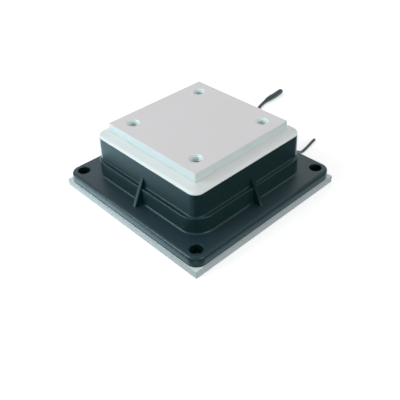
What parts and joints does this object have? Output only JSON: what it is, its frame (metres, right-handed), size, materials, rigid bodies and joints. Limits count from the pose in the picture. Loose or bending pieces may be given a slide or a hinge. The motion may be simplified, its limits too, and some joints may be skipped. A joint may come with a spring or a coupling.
{
  "type": "peltier module",
  "caption": "Thermoelectric cooler module: square aluminium hot plate, black moulded frame with a tower, white insulating collar, tapped aluminium cold block and short leads.",
  "frame": {"origin": "centre of the hot plate's underside", "axes": "+Z from the hot plate to the cold block, +Y towards the side where the leads leave"},
  "size_m": [0.1, 0.1598, 0.0381],
  "materials": {
    "plate_aluminium": "satin milled",
    "block_aluminium": "satin, bead blasted and anodised",
    "moulding_black": "fine moulded satin",
    "collar_white": "smooth moulded",
    "screw_steel": "zinc plated",
    "sleeve_plastic": "extruded",
    "grease": "paste",
    "chip_ceramic": "sintered",
    "bridge_copper": "plain copper",
    "leg_n": "dull semiconductor",
    "leg_p": "dull semiconductor",
    "sealant": "silicone",
    "sealant_grey": "silicone",
    "solder": "reflowed",
    "foam": "closed-cell foam",
    "lead_red": "satin insulation",
    "lead_black": "satin insulation",
    "shrink_black": "shrunk sleeving"
  },
  "bodies": {
    "root": {"hot_plate": "plate_aluminium", "clamp_screws": "screw_steel", "insulating_sleeves": "sleeve_plastic", "hot_grease": "grease", "hot_ceramic": "chip_ceramic", "hot_bridges": "bridge_copper", "n_legs": "leg_n", "p_legs": "leg_p", "cold_bridges": "bridge_copper", "cold_ceramic": "chip_ceramic", "chip_seal": "sealant", "solder_joints": "solder", "cold_grease": "grease", "cold_block": "block_aluminium", "foam_fill": "foam", "frame": "moulding_black", "insulating_collar": "collar_white", "lead_seals": "sealant_grey", "lead_red": "lead_red", "lead_black": "lead_black", "shrink_sleeve": "shrink_black"}
  },
  "joints": []
}
